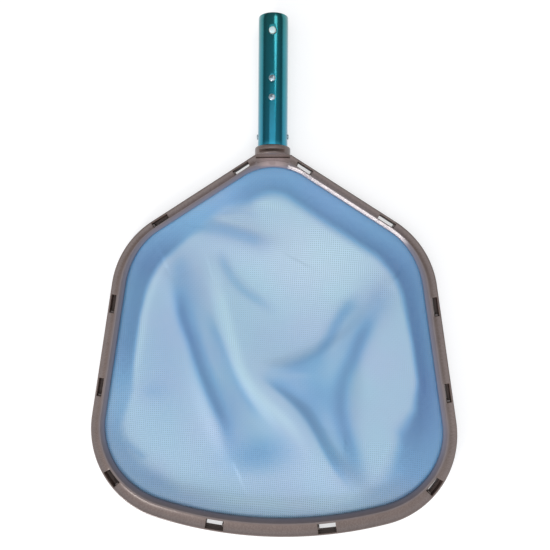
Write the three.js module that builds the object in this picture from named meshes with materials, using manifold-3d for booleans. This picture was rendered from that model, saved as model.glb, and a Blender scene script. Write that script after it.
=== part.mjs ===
// A leaf skimmer net lying on its back on a flat surface. Two moulded half frames snap together
// round the corded edge of a shallow net. The lower half carries the neck, whose plug is riveted
// into a short aluminium handle tube, and a sprung two-button clip sits inside the tube's mouth.
// Millimetres. +Z is up, the handle points along +Y, and the frame lies on z = 0.

import * as THREE from 'three';
import { mergeVertices } from 'three/addons/utils/BufferGeometryUtils.js';
import Module from 'manifold-3d';

const wasm = await Module();
wasm.setup();

// ---- Driving dimensions -------------------------------------------------------------------

const fitGap = 0.3;               // left between pieces that touch

// Frame in plan, measured from the line where the shoulders leave the collar
const frameLength = 370.7;        // shoulder root to the far edge
const frameWidth = 355.8;
const shoulderAngle = 32.7;       // degrees, shoulders against the cross direction
const sideLean = 8.4;             // degrees, sides against the handle's direction
const upperCornerRadius = 87.3;
const lowerCornerRadius = 89.4;
const farEdgeRadius = 411;
const outerApexRadius = 10;       // hidden under the collar
const neckFilletRadius = 55;      // inside corner below the neck

// Frame in section
const frameThickness = 13;
const splitHeight = 6.2;          // level of the parting line and of the net's edge
const bandAtShoulder = 10.5;
const bandAtSide = 12.5;
const bandAtFarEdge = 16.5;
const edgeBevel = 1.2;
const innerSlopeWidth = 3.3;
const innerSlopeDrop = 2.8;
const lipWidth = 0.8;             // inner lips that grip the net

// Net
const netThickness = 1.2;
const cordDiameter = 2;
const netSlack = 20;              // width of the strip that slopes down from the frame
const foldHeight = 6.4;           // tallest fold above the surface that the net lies on

// Windows and their snap hooks
const slotDistances = [18.5, 113, 215, 298, 395, 514];   // along the edge from the shoulder root
const slotLength = 18;
const slotWall = 1.9;             // frame left between a slot and the outer edge
const slotWidth = 4.6;
const slotGain = 1.15;            // added to the width for each mm of band past the sides' band
const hookWidth = 3.2;            // across the slot
const hookThickness = 1.5;
const hookBarb = 0.6;
const hookHeight = 10.4;
const barbHeight = 1.4;

// Neck
const collarDiameter = 34;
const collarLength = 8.3;
const collarBack = 3;             // how far the collar's lower face lies past the shoulder root
const collarRound = 1.8;
const grooveWidth = 2.6;          // saw-cut groove across the collar's top
const grooveInset = 3;
const grooveDepth = 4.7;
const plugPastRivet = 7;          // plug left beyond the last pop rivet
const plugWall = 3.7;
const plugFloor = 6;

// Handle tube
const tubeDiameter = 28.6;
const tubeWall = 1.3;
const tubeLength = 123.4;

// Fasteners, measured along the tube from its lower end
const sideRivetAt = 10;
const sideRivetDiameter = 4;
const popRivetsAt = [44, 61.8];
const popRivetDiameter = 3.2;
const popHeadDiameter = 6.2;
const popHeadHeight = 1.2;
const popTailDiameter = 4.6;
const popTailLength = 2.2;
const sideHeadDiameter = 5.2;
const sideHeadHeight = 0.9;

// Spring clip
const buttonFromMouth = 16.8;
const buttonDiameter = 6.4;
const buttonRise = 2.6;           // button top above the tube
const buttonPlay = 0.7;           // radial room in the tube's hole
const stemDiameter = 2.4;
const stripWidth = 9;
const stripThickness = 0.9;
const clipBend = 2.6;
const legLength = 3;              // bow legs, up to where the arms start
const tipLength = 5.2;            // arm past the button's middle

// ---- Derived places -----------------------------------------------------------------------

const radians = Math.PI / 180;
const tubeRadius = tubeDiameter / 2;
const tubeBore = tubeRadius - tubeWall;
const collarRadius = collarDiameter / 2;
const axisHeight = collarRadius;                  // the collar and the frame share the floor
const collarFace = collarLength - collarBack;     // upper face, where the tube stops
const tubeStart = collarFace + fitGap;
const tubeEnd = tubeStart + tubeLength;
const plugEnd = tubeStart + Math.max(...popRivetsAt) + plugPastRivet;
const plugRadius = tubeBore - fitGap;
const centreShift = (frameLength - tubeEnd) / 2;  // brings the middle of the length to y = 0

// ---- Mesh and solid helpers ---------------------------------------------------------------

function welded(geometry) {
  geometry.deleteAttribute('normal');
  geometry.deleteAttribute('uv');
  return mergeVertices(geometry, 1e-4);
}

function toSolid(geometry) {
  const mesh = welded(geometry);
  return new wasm.Manifold(new wasm.Mesh({
    numProp: 3,
    vertProperties: new Float32Array(mesh.attributes.position.array),
    triVerts: new Uint32Array(mesh.index.array),
  }));
}

function toGeometry(solid) {
  const mesh = solid.getMesh();
  const geometry = new THREE.BufferGeometry();
  geometry.setAttribute('position', new THREE.BufferAttribute(mesh.vertProperties, 3));
  geometry.setIndex(new THREE.BufferAttribute(mesh.triVerts, 1));
  return geometry;
}

function box(low, high) {
  const size = new THREE.Vector3().subVectors(high, low);
  const geometry = new THREE.BoxGeometry(size.x, size.y, size.z);
  geometry.translate((low.x + high.x) / 2, (low.y + high.y) / 2, (low.z + high.z) / 2);
  return geometry;
}

// A lathe turned about the tube's axis: profile points are [radius, distance along +Y]
function turnedAlongY(profile, sides) {
  const points = profile.map(([radius, along]) => new THREE.Vector2(radius, along));
  const geometry = new THREE.LatheGeometry(points, sides, Math.PI / sides);
  geometry.translate(0, 0, axisHeight);
  return geometry;
}

// A lathe standing on the tube: profile points are [radius, height above the tube's axis]
function turnedUpright(profile, sides, along, facing) {
  const points = profile.map(([radius, height]) => new THREE.Vector2(radius, height));
  const geometry = new THREE.LatheGeometry(points, sides);
  if (facing === 'side') {
    geometry.rotateZ(-Math.PI / 2);
  } else {
    geometry.rotateX(facing === 'down' ? -Math.PI / 2 : Math.PI / 2);
  }
  geometry.translate(0, along, axisHeight);
  return geometry;
}

// Quarter round between two directions, as profile points
function quarter(radius, centreOut, centreAlong, from, to, steps) {
  const points = [];
  for (let i = 0; i <= steps; i++) {
    const angle = (from + (to - from) * i / steps) * radians;
    points.push([centreOut + radius * Math.cos(angle), centreAlong + radius * Math.sin(angle)]);
  }
  return points;
}

// ---- The frame's outline ------------------------------------------------------------------

const shoulderOut = new THREE.Vector2(Math.sin(shoulderAngle * radians), Math.cos(shoulderAngle * radians));
const sideOut = new THREE.Vector2(Math.cos(sideLean * radians), Math.sin(sideLean * radians));
const shoulderRoot = new THREE.Vector2(collarRadius, 0);

const farCentre = new THREE.Vector2(0, farEdgeRadius - frameLength);
const lowerCentre = new THREE.Vector2(frameWidth / 2 - lowerCornerRadius, 0);
lowerCentre.y = farCentre.y - Math.sqrt((farEdgeRadius - lowerCornerRadius) ** 2 - lowerCentre.x ** 2);

// The upper corner's centre lies one radius inside both the shoulder and the side
function upperCornerCentre() {
  const shoulderReach = shoulderRoot.dot(shoulderOut) - upperCornerRadius;
  const sideReach = lowerCentre.dot(sideOut) + lowerCornerRadius - upperCornerRadius;
  const determinant = shoulderOut.x * sideOut.y - shoulderOut.y * sideOut.x;
  return new THREE.Vector2(
    (shoulderReach * sideOut.y - sideReach * shoulderOut.y) / determinant,
    (sideReach * shoulderOut.x - shoulderReach * sideOut.x) / determinant,
  );
}

const upperCentre = upperCornerCentre();

// Height on the centre line of a circle that touches both shoulders from below
function apexCentre(radius, inset) {
  const reach = shoulderRoot.dot(shoulderOut) - inset - radius;
  return new THREE.Vector2(0, reach / shoulderOut.y);
}

const outerApex = apexCentre(outerApexRadius, 0);
const innerApex = apexCentre(neckFilletRadius, bandAtShoulder);

const shoulderFacing = 90 - shoulderAngle;        // directions that the outline faces, degrees
const lowerEndFacing = Math.atan2(lowerCentre.y - farCentre.y, lowerCentre.x) / radians;

function arcStations(centre, radius, from, to, steps, bandFrom, bandTo) {
  const stations = [];
  for (let i = 1; i <= steps; i++) {
    const share = i / steps;
    const angle = (from + (to - from) * share) * radians;
    const out = new THREE.Vector2(Math.cos(angle), Math.sin(angle));
    const ease = share * share * (3 - 2 * share);
    stations.push({ edge: centre.clone().addScaledVector(out, radius), out, band: bandFrom + (bandTo - bandFrom) * ease });
  }
  return stations;
}

function lineStations(to, steps) {
  return (from) => {
    const stations = [];
    for (let i = 1; i <= steps; i++) {
      stations.push({ edge: from.edge.clone().lerp(to.edge, i / steps), out: to.out, band: to.band });
    }
    return stations;
  };
}

function onCircle(centre, radius, out, band) {
  return { edge: centre.clone().addScaledVector(out, radius), out, band };
}

const filletEnd = onCircle(innerApex, neckFilletRadius + bandAtShoulder, shoulderOut, bandAtShoulder);

// Right half of the outline, from the middle of the neck to the middle of the far edge
function rightHalf() {
  const half = [onCircle(outerApex, outerApexRadius, new THREE.Vector2(0, 1), bandAtShoulder)];
  const last = () => half[half.length - 1];
  half.push(...arcStations(outerApex, outerApexRadius, 90, shoulderFacing, 2, bandAtShoulder, bandAtShoulder));
  half.push(...lineStations(filletEnd, 5)(last()));
  half.push(...lineStations(onCircle(upperCentre, upperCornerRadius, shoulderOut, bandAtShoulder), 2)(last()));
  half.push(...arcStations(upperCentre, upperCornerRadius, shoulderFacing, sideLean, 6, bandAtShoulder, bandAtSide));
  half.push(...lineStations(onCircle(lowerCentre, lowerCornerRadius, sideOut, bandAtSide), 3)(last()));
  half.push(...arcStations(lowerCentre, lowerCornerRadius, sideLean, lowerEndFacing, 10, bandAtSide, bandAtFarEdge));
  half.push(...arcStations(farCentre, farEdgeRadius, lowerEndFacing, -90, 4, bandAtFarEdge, bandAtFarEdge));
  return half;
}

// Below the neck the inner edge follows the fillet, so the band there is deeper and runs to its centre
function withDepth(station) {
  const toCentre = innerApex.clone().sub(station.edge);
  const aboveFillet = station.edge.y > filletEnd.edge.y - 1e-6;
  if (aboveFillet) {
    return { ...station, inward: toCentre.clone().normalize(), depth: toCentre.length() - neckFilletRadius };
  }
  return { ...station, inward: station.out.clone().negate(), depth: station.band };
}

function mirrored(station) {
  return {
    ...station,
    edge: new THREE.Vector2(-station.edge.x, station.edge.y),
    out: new THREE.Vector2(-station.out.x, station.out.y),
  };
}

const half = rightHalf();
const outline = [...half, ...half.slice(1, -1).reverse().map(mirrored)].map(withDepth);

// A ring swept round the outline: section gives [distance in from the edge, height] pairs
function sweptRing(section) {
  const positions = [];
  const index = [];
  const count = section(outline[0]).length;
  outline.forEach((station) => {
    section(station).forEach(([inset, height]) => {
      const point = station.edge.clone().addScaledVector(station.inward, inset);
      positions.push(point.x, point.y, height);
    });
  });
  for (let i = 0; i < outline.length; i++) {
    const next = (i + 1) % outline.length;
    for (let j = 0; j < count; j++) {
      const k = (j + 1) % count;
      const [a, b, c, d] = [i * count + j, i * count + k, next * count + k, next * count + j];
      index.push(a, c, b, a, d, c);
    }
  }
  const geometry = new THREE.BufferGeometry();
  geometry.setAttribute('position', new THREE.Float32BufferAttribute(positions, 3));
  geometry.setIndex(index);
  return geometry;
}

// ---- Frame halves -------------------------------------------------------------------------

const upperFloor = splitHeight + fitGap / 2;
const lowerTop = splitHeight - fitGap / 2;
const slitHalf = netThickness / 2 + fitGap;
const channelHalf = cordDiameter / 2 + fitGap;
const cordInset = lipWidth + channelHalf;         // the cord's middle, in from the inner edge

function upperSection({ depth }) {
  const lipStart = depth - lipWidth;
  const channelStart = lipStart - 2 * channelHalf;
  return [
    [0, upperFloor],
    [channelStart, upperFloor],
    [channelStart, splitHeight + channelHalf],
    [lipStart, splitHeight + channelHalf],
    [lipStart, splitHeight + slitHalf],
    [depth, splitHeight + slitHalf],
    [depth, frameThickness - innerSlopeDrop],
    [depth - innerSlopeWidth, frameThickness],
    [edgeBevel, frameThickness],
    [0, frameThickness - edgeBevel],
  ];
}

function lowerSection({ depth }) {
  const lipStart = depth - lipWidth;
  const channelStart = lipStart - 2 * channelHalf;
  return [
    [0, lowerTop],
    [0, edgeBevel],
    [edgeBevel, 0],
    [depth - edgeBevel, 0],
    [depth, edgeBevel],
    [depth, splitHeight - slitHalf],
    [lipStart, splitHeight - slitHalf],
    [lipStart, splitHeight - channelHalf],
    [channelStart, splitHeight - channelHalf],
    [channelStart, lowerTop],
  ];
}

// Place on the outer edge at a distance from the shoulder root, with its facing and band
function edgeAt(distance) {
  const start = shoulderRoot.clone();
  let left = distance;
  let from = { edge: start, out: shoulderOut, band: bandAtShoulder };
  for (const to of half.filter(({ edge }) => edge.y < start.y || edge.x > start.x)) {
    const step = to.edge.distanceTo(from.edge);
    if (left <= step) {
      const share = left / step;
      return {
        edge: from.edge.clone().lerp(to.edge, share),
        out: from.out.clone().lerp(to.out, share).normalize(),
        band: from.band + (to.band - from.band) * share,
      };
    }
    left -= step;
    from = to;
  }
  return from;
}

const slotPlaces = slotDistances.flatMap((distance) => {
  const place = edgeAt(distance);
  return [place, mirrored(place)];
});

function slotSpan({ band }) {
  return { outer: slotWall, inner: slotWall + slotWidth + Math.max(0, band - bandAtSide) * slotGain };
}

// A profile extruded centred on z = 0, laid into a slot's own directions and moved to its place
function laidInSlot({ edge, out }, profile, length, alongEdge) {
  const shape = new THREE.Shape(profile.map(([across, height]) => new THREE.Vector2(across, height)));
  const geometry = new THREE.ExtrudeGeometry(shape, { depth: length, bevelEnabled: false });
  geometry.translate(0, 0, -length / 2);
  geometry.rotateX(Math.PI / 2);
  if (alongEdge) geometry.rotateZ(Math.PI / 2);
  return {
    shifted(inset) {
      geometry.translate(0, -inset, 0);
      return this;
    },
    solid() {
      geometry.rotateZ(Math.atan2(out.y, out.x) - Math.PI / 2);
      geometry.translate(edge.x, edge.y, 0);
      return toSolid(geometry);
    },
  };
}

const through = 1;                                // cutters run this far past what they cut

// Straight through a half frame
function cutSlots(solid) {
  return slotPlaces.reduce((frame, place) => {
    const { outer, inner } = slotSpan(place);
    const top = frameThickness + through;
    const cutter = [[-inner, -through], [-outer, -through], [-outer, top], [-inner, top]];
    return frame.subtract(laidInSlot(place, cutter, slotLength, true).solid());
  }, solid);
}

// Profiles of hooks and pockets give [distance along the edge, height], from the slot's middle
// to its end away from the neck, and lie in the middle of the slot's width
function atSlotEnd(place, profile, width) {
  const { outer, inner } = slotSpan(place);
  const side = Math.sign(place.edge.x);
  const facing = profile.map(([along, height]) => [side * along, height]);
  const turned = side > 0 ? facing : facing.reverse();
  return laidInSlot(place, turned, width, false).shifted((outer + inner) / 2).solid();
}

const slotEnd = slotLength / 2;

// Pockets in the upper half's slot ends, over whose lower edges the barbs catch
function cutPockets(solid) {
  const low = hookHeight - barbHeight - fitGap;
  const high = hookHeight + fitGap;
  const deep = slotEnd + hookBarb + fitGap;
  const pocket = [[slotEnd - through, low], [deep, low], [deep, high], [slotEnd - through, high]];
  return slotPlaces.reduce(
    (frame, place) => frame.subtract(atSlotEnd(place, pocket, hookWidth + 2 * fitGap)),
    solid,
  );
}

// A tongue that rises from the lower half along the slot's end, with a ramped barb
function hookAt(place) {
  const back = slotEnd - fitGap;
  const root = slotEnd + hookBarb;
  const rootTop = lowerTop - fitGap;
  return atSlotEnd(place, [
    [root, edgeBevel],
    [root, rootTop],
    [back, rootTop],
    [back, hookHeight - barbHeight],
    [root, hookHeight - barbHeight],
    [root, hookHeight - barbHeight / 2],
    [back, hookHeight],
    [back - hookThickness, hookHeight],
    [back - hookThickness, edgeBevel],
  ], hookWidth);
}

function addHooks(solid) {
  return slotPlaces.reduce((frame, place) => frame.add(hookAt(place)), solid);
}

function makeFrameUpper() {
  const besideCollar = collarRadius + fitGap;
  const neckCut = box(
    new THREE.Vector3(-besideCollar, -collarBack - fitGap, -through),
    new THREE.Vector3(besideCollar, frameLength, frameThickness + through),
  );
  return toGeometry(cutPockets(cutSlots(toSolid(sweptRing(upperSection)).subtract(toSolid(neckCut)))));
}

// Collar and plug, turned about the tube's axis
function neckProfile() {
  const plugBore = plugRadius - plugWall;
  return [
    [0, -collarBack],
    [collarRadius, -collarBack],
    ...quarter(collarRound, collarRadius - collarRound, collarFace - collarRound, 0, 90, 3),
    [plugRadius, collarFace],
    [plugRadius, plugEnd - tubeWall],
    [plugRadius - tubeWall, plugEnd],
    [plugBore, plugEnd],
    [plugBore, collarFace + plugFloor],
    [0, collarFace + plugFloor],
  ];
}

function rivetBore(radius, along, facing) {
  const reach = facing === 'side' ? [-collarRadius, collarRadius] : [0, collarRadius];
  return toSolid(turnedUpright([[0, reach[0]], [radius, reach[0]], [radius, reach[1]], [0, reach[1]]], 16, along, facing));
}

function drillForRivets(solid) {
  const drilled = popRivetsAt.reduce(
    (part, along) => part.subtract(rivetBore(popRivetDiameter / 2 + fitGap, tubeStart + along, 'up')),
    solid,
  );
  return drilled.subtract(rivetBore(sideRivetDiameter / 2 + fitGap, tubeStart + sideRivetAt, 'side'));
}

function makeFrameLower() {
  const apexCut = box(
    new THREE.Vector3(-frameWidth, collarFace / 2, -through),
    new THREE.Vector3(frameWidth, frameLength, frameThickness + through),
  );
  const groove = box(
    new THREE.Vector3(-collarRadius, grooveInset - collarBack - grooveWidth / 2, axisHeight + collarRadius - grooveDepth),
    new THREE.Vector3(collarRadius, grooveInset - collarBack + grooveWidth / 2, axisHeight + collarRadius + through),
  );
  const ring = addHooks(cutSlots(toSolid(sweptRing(lowerSection)).subtract(toSolid(apexCut))));
  const neck = drillForRivets(toSolid(turnedAlongY(neckProfile(), 48)).subtract(toSolid(groove)));
  return toGeometry(ring.add(neck));
}

// ---- Net and its cord ---------------------------------------------------------------------

function makeNetCord() {
  const sides = 8;
  return sweptRing(({ depth }) => {
    const section = [];
    for (let i = 0; i < sides; i++) {
      const angle = -2 * Math.PI * i / sides;
      section.push([
        depth - cordInset - Math.cos(angle) * cordDiameter / 2,
        splitHeight + Math.sin(angle) * cordDiameter / 2,
      ]);
    }
    return section;
  });
}

// The net's edge loop lies between the lips, clear of the cord
const netLoop = outline.map(({ edge, inward, depth }) => edge.clone().addScaledVector(inward, depth - lipWidth));
const netMiddle = new THREE.Vector2(0, (netLoop[0].y + netLoop[half.length - 1].y) / 2);
const netReach = new THREE.Vector2(
  Math.max(...netLoop.map(({ x }) => x)),
  (netLoop[0].y - netLoop[half.length - 1].y) / 2,
);

const loopLengths = netLoop.map((point, i) => point.distanceTo(netLoop[(i + 1) % netLoop.length]));
const loopTotal = loopLengths.reduce((sum, length) => sum + length, 0);

function netEdgeAt(share) {
  let left = ((share % 1) + 1) % 1 * loopTotal;
  let i = 0;
  while (left > loopLengths[i]) {
    left -= loopLengths[i];
    i++;
  }
  return netLoop[i].clone().lerp(netLoop[(i + 1) % netLoop.length], left / loopLengths[i]);
}

// Main folds. Each ridge runs through points given as shares of the net's reach from its middle,
// with a steep flank on one side: rise is a share of foldHeight, side +1 is left of the run.
const folds = [
  { run: [[-0.60, 0.36], [-0.46, 0.06], [-0.40, -0.28], [-0.24, -0.66]], rise: 0.95, side: -1 },
  { run: [[-0.30, 0.30], [-0.20, -0.06], [-0.06, -0.30], [0.12, -0.52]], rise: 0.7, side: -1 },
  { run: [[0.66, 0.34], [0.42, 0.10], [0.10, -0.08], [-0.14, -0.10]], rise: 1, side: -1 },
  { run: [[-0.08, -0.20], [0.16, -0.42], [0.34, -0.66], [0.52, -0.84]], rise: 0.8, side: 1 },
  { run: [[0.56, 0.20], [0.46, -0.14], [0.44, -0.50]], rise: 0.75, side: 1 },
];
const steepFlank = 11;
const gentleFlank = 30;

// Distance from a fold's run, signed by side, and how far the nearest point lies from its ends
function foldOffset(run, x, y) {
  let best = { distance: Infinity };
  for (let i = 0; i + 1 < run.length; i++) {
    const a = new THREE.Vector2(run[i][0] * netReach.x, netMiddle.y + run[i][1] * netReach.y);
    const b = new THREE.Vector2(run[i + 1][0] * netReach.x, netMiddle.y + run[i + 1][1] * netReach.y);
    const along = b.clone().sub(a);
    const share = THREE.MathUtils.clamp(((x - a.x) * along.x + (y - a.y) * along.y) / along.lengthSq(), 0, 1);
    const foot = a.clone().addScaledVector(along, share);
    const distance = Math.hypot(x - foot.x, y - foot.y);
    if (distance < best.distance) {
      const side = Math.sign(along.x * (y - a.y) - along.y * (x - a.x)) || 1;
      const place = (i + share) / (run.length - 1);
      best = { distance, side, taper: Math.sin(Math.PI * THREE.MathUtils.clamp(0.12 + 0.76 * place, 0, 1)) };
    }
  }
  return best;
}

function netHeight(x, y, share) {
  const lowest = netThickness / 2 + fitGap;
  const reach = Math.min(netReach.x, netReach.y);
  const drop = THREE.MathUtils.smoothstep((1 - share) * reach, 0, netSlack);
  let height = 0;
  for (const { run, rise, side } of folds) {
    const offset = foldOffset(run, x, y);
    const flank = offset.side === side ? steepFlank : gentleFlank;
    height = Math.max(height, rise * foldHeight * offset.taper * Math.exp(-((offset.distance / flank) ** 2)));
  }
  return splitHeight + (lowest + height - splitHeight) * drop;
}

// A square grid pulled out to the net's edge: ring by ring, with the corners going to even shares
function makeNet() {
  const rings = 12;
  const span = 2 * rings + 1;
  const positions = [];
  for (const lift of [netThickness / 2, -netThickness / 2]) {
    for (let a = -rings; a <= rings; a++) {
      for (let b = -rings; b <= rings; b++) {
        const ring = Math.max(Math.abs(a), Math.abs(b));
        const share = ring / rings;
        let turn = 0;
        if (ring > 0 && b === ring) turn = a;
        else if (a === ring) turn = 2 * ring - b;
        else if (b === -ring) turn = 4 * ring - a;
        else if (ring > 0) turn = 6 * ring + b;
        const edge = netEdgeAt(ring > 0 ? turn / (8 * ring) : 0);
        const point = netMiddle.clone().lerp(edge, share);
        positions.push(point.x, point.y, netHeight(point.x, point.y, share) + lift);
      }
    }
  }
  const index = [];
  const under = span * span;
  for (let i = 0; i < span - 1; i++) {
    for (let j = 0; j < span - 1; j++) {
      const [a, b, c, d] = [i * span + j, (i + 1) * span + j, (i + 1) * span + j + 1, i * span + j + 1];
      index.push(a, b, c, a, c, d);
      index.push(under + a, under + c, under + b, under + a, under + d, under + c);
    }
  }
  const rim = [];
  for (let i = 0; i < span - 1; i++) rim.push(i * span);
  for (let j = 0; j < span - 1; j++) rim.push((span - 1) * span + j);
  for (let i = span - 1; i > 0; i--) rim.push(i * span + span - 1);
  for (let j = span - 1; j > 0; j--) rim.push(j);
  rim.forEach((a, i) => {
    const b = rim[(i + 1) % rim.length];
    index.push(a, under + a, b, b, under + a, under + b);
  });
  const geometry = new THREE.BufferGeometry();
  geometry.setAttribute('position', new THREE.Float32BufferAttribute(positions, 3));
  geometry.setIndex(index);
  return geometry;
}

// ---- Handle tube and fasteners ------------------------------------------------------------

const buttonAlong = tubeEnd - buttonFromMouth;

function makeHandleTube() {
  const wall = turnedAlongY([
    [tubeBore, tubeStart],
    [tubeRadius, tubeStart],
    [tubeRadius, tubeEnd],
    [tubeBore, tubeEnd],
    [tubeBore, tubeStart],
  ], 40);
  const buttonHole = toSolid(turnedUpright([
    [0, -collarRadius],
    [buttonDiameter / 2 + buttonPlay, -collarRadius],
    [buttonDiameter / 2 + buttonPlay, collarRadius],
    [0, collarRadius],
  ], 24, buttonAlong, 'up'));
  return toGeometry(drillForRivets(toSolid(wall)).subtract(buttonHole));
}

function domedHead(radius, height, base, steps) {
  const points = [];
  for (let i = 0; i <= steps; i++) {
    const angle = 90 * i / steps * radians;
    points.push([radius * Math.cos(angle), base + height * Math.sin(angle)]);
  }
  points[steps][0] = 0;
  return points;
}

function makePopRivet(along) {
  const seat = tubeRadius + fitGap;
  const tailTop = plugRadius - plugWall - fitGap;
  return turnedUpright([
    [0, tailTop - popTailLength],
    [popTailDiameter / 2, tailTop - popTailLength],
    [popTailDiameter / 2, tailTop],
    [popRivetDiameter / 2, tailTop],
    [popRivetDiameter / 2, seat],
    ...domedHead(popHeadDiameter / 2, popHeadHeight, seat, 4),
  ], 16, along, 'up');
}

function makeSideRivet() {
  const seat = tubeRadius + fitGap;
  const head = domedHead(sideHeadDiameter / 2, sideHeadHeight, seat, 3);
  const foot = head.map(([radius, height]) => [radius, -height]).reverse();
  return turnedUpright([
    ...foot,
    [sideRivetDiameter / 2, -seat],
    [sideRivetDiameter / 2, seat],
    ...head,
  ], 16, tubeStart + sideRivetAt, 'side');
}

// ---- Spring clip: a bow, two arms and two buttons -----------------------------------------

// The strip lies flat inside the round tube, so its edges set how far out it can be
const stripOuter = Math.sqrt(tubeBore ** 2 - (stripWidth / 2) ** 2) - fitGap;
const stripInner = stripOuter - stripThickness;
const bowStart = plugEnd + fitGap;
const armStart = bowStart + clipBend + legLength;
const armEnd = buttonAlong + tipLength;

// A strip drawn in the upright plane through the tube's axis and given the clip's width
function strip(shape, holes = []) {
  const geometry = new THREE.ExtrudeGeometry(shape, { depth: stripWidth, bevelEnabled: false, curveSegments: 4 });
  geometry.rotateY(-Math.PI / 2);
  geometry.translate(stripWidth / 2, 0, axisHeight);
  return holes.reduce((part, hole) => part.subtract(hole), toSolid(geometry));
}

function makeClipBow() {
  const shape = new THREE.Shape();
  const outer = clipBend;
  const inner = clipBend - stripThickness;
  const end = armStart - fitGap;
  shape.moveTo(-stripOuter, end);
  shape.lineTo(-stripOuter, bowStart + outer);
  shape.absarc(-stripOuter + outer, bowStart + outer, outer, Math.PI, 1.5 * Math.PI, false);
  shape.lineTo(stripOuter - outer, bowStart);
  shape.absarc(stripOuter - outer, bowStart + outer, outer, 1.5 * Math.PI, 2 * Math.PI, false);
  shape.lineTo(stripOuter, end);
  shape.lineTo(stripInner, end);
  shape.lineTo(stripInner, bowStart + outer);
  shape.absarc(stripOuter - outer, bowStart + outer, inner, 2 * Math.PI, 1.5 * Math.PI, true);
  shape.lineTo(-stripOuter + outer, bowStart + stripThickness);
  shape.absarc(-stripOuter + outer, bowStart + outer, inner, 1.5 * Math.PI, Math.PI, true);
  shape.lineTo(-stripInner, end);
  return toGeometry(strip(shape));
}

function makeClipArm(side) {
  const shape = new THREE.Shape();
  const tipDrop = stripThickness;
  shape.moveTo(side * stripInner, armStart);
  shape.lineTo(side * stripOuter, armStart);
  shape.lineTo(side * stripOuter, armEnd - tipDrop * 2);
  shape.lineTo(side * (stripOuter - tipDrop), armEnd);
  shape.lineTo(side * (stripInner - tipDrop), armEnd);
  shape.lineTo(side * stripInner, armEnd - tipDrop * 2);
  const stemHole = toSolid(turnedUpright([
    [0, 0],
    [stemDiameter / 2 + fitGap, 0],
    [stemDiameter / 2 + fitGap, collarRadius],
    [0, collarRadius],
  ], 12, buttonAlong, side > 0 ? 'up' : 'down'));
  return toGeometry(strip(shape, [stemHole]));
}

function makeButton(side) {
  const seat = stripOuter + fitGap;
  const top = tubeRadius + buttonRise;
  const radius = buttonDiameter / 2;
  const round = radius / 2;
  return turnedUpright([
    [0, stripInner - stripThickness / 2],
    [stemDiameter / 2, stripInner - stripThickness / 2],
    [stemDiameter / 2, seat],
    [radius, seat],
    ...quarter(round, radius - round, top - round, 0, 90, 3),
    [0, top],
  ], 20, buttonAlong, side > 0 ? 'up' : 'down');
}

// ---- Materials ----------------------------------------------------------------------------

function material(color, roughness, metalness) {
  return new THREE.MeshStandardMaterial({ color, roughness, metalness });
}

const mouldedTaupe = () => material(0x83766f, 0.42, 0);
const anodisedTeal = () => material(0x0e7180, 0.24, 0.85);
const bareAluminium = () => material(0xc9cfd2, 0.3, 1);
const springSteel = () => material(0x9aa0a4, 0.32, 1);
const whiteNylon = () => material(0xe8ecec, 0.45, 0);
const blueMesh = () => material(0x9cc3e2, 0.8, 0);
const blueCord = () => material(0x6f9fc8, 0.75, 0);

// ---- Assembly -----------------------------------------------------------------------------

const skimmer = new THREE.Group();
skimmer.name = 'leaf_skimmer';
skimmer.position.y = centreShift;

function addPiece(name, geometry, finish) {
  const mesh = new THREE.Mesh(geometry, finish);
  mesh.name = name;
  skimmer.add(mesh);
}

addPiece('frame_lower', makeFrameLower(), mouldedTaupe());
addPiece('frame_upper', makeFrameUpper(), mouldedTaupe());
addPiece('net', makeNet(), blueMesh());
addPiece('net_edge_cord', makeNetCord(), blueCord());
addPiece('handle_tube', makeHandleTube(), anodisedTeal());
popRivetsAt.forEach((along, i) => {
  addPiece(`pop_rivet_${i + 1}`, makePopRivet(tubeStart + along), bareAluminium());
});
addPiece('side_rivet', makeSideRivet(), bareAluminium());
addPiece('clip_bow', makeClipBow(), springSteel());
addPiece('clip_arm_upper', makeClipArm(1), springSteel());
addPiece('clip_arm_lower', makeClipArm(-1), springSteel());
addPiece('button_upper', makeButton(1), whiteNylon());
addPiece('button_lower', makeButton(-1), whiteNylon());

export default skimmer;
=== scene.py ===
import math
from functools import partial

import bmesh
import bpy
import numpy as np
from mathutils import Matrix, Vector


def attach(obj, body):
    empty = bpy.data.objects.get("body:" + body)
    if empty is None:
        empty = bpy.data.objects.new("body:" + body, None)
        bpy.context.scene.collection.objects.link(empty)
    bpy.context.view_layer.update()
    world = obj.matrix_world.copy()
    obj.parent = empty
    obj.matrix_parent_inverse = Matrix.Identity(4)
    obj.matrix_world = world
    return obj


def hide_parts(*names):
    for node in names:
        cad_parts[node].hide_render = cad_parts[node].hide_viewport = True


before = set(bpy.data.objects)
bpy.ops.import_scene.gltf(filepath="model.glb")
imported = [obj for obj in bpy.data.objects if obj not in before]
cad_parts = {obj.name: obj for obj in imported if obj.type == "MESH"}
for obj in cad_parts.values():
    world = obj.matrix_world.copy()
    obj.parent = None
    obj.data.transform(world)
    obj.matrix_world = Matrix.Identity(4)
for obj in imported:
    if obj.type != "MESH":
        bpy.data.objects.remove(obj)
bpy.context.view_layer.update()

# A leaf skimmer net lying on its back on a pale floor, seen from above.
# Sizes in the dictionaries are millimetres, and meshes are made in metres.

scene = bpy.context.scene
mm = 0.001
metre = 1000

# Small helpers


# A dictionary whose values are also read with a dot
class Sizes(dict):
    __getattr__ = dict.__getitem__


def toLinear(hexColour):
    channels = [int(hexColour[i:i + 2], 16) / 255 for i in (1, 3, 5)]
    linear = [c / 12.92 if c <= 0.04045 else ((c + 0.055) / 1.055) ** 2.4 for c in channels]
    return (*linear, 1.0)


def out(sockets, name=None):
    return next(s for s in sockets if s.enabled and name in (None, s.name))


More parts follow.
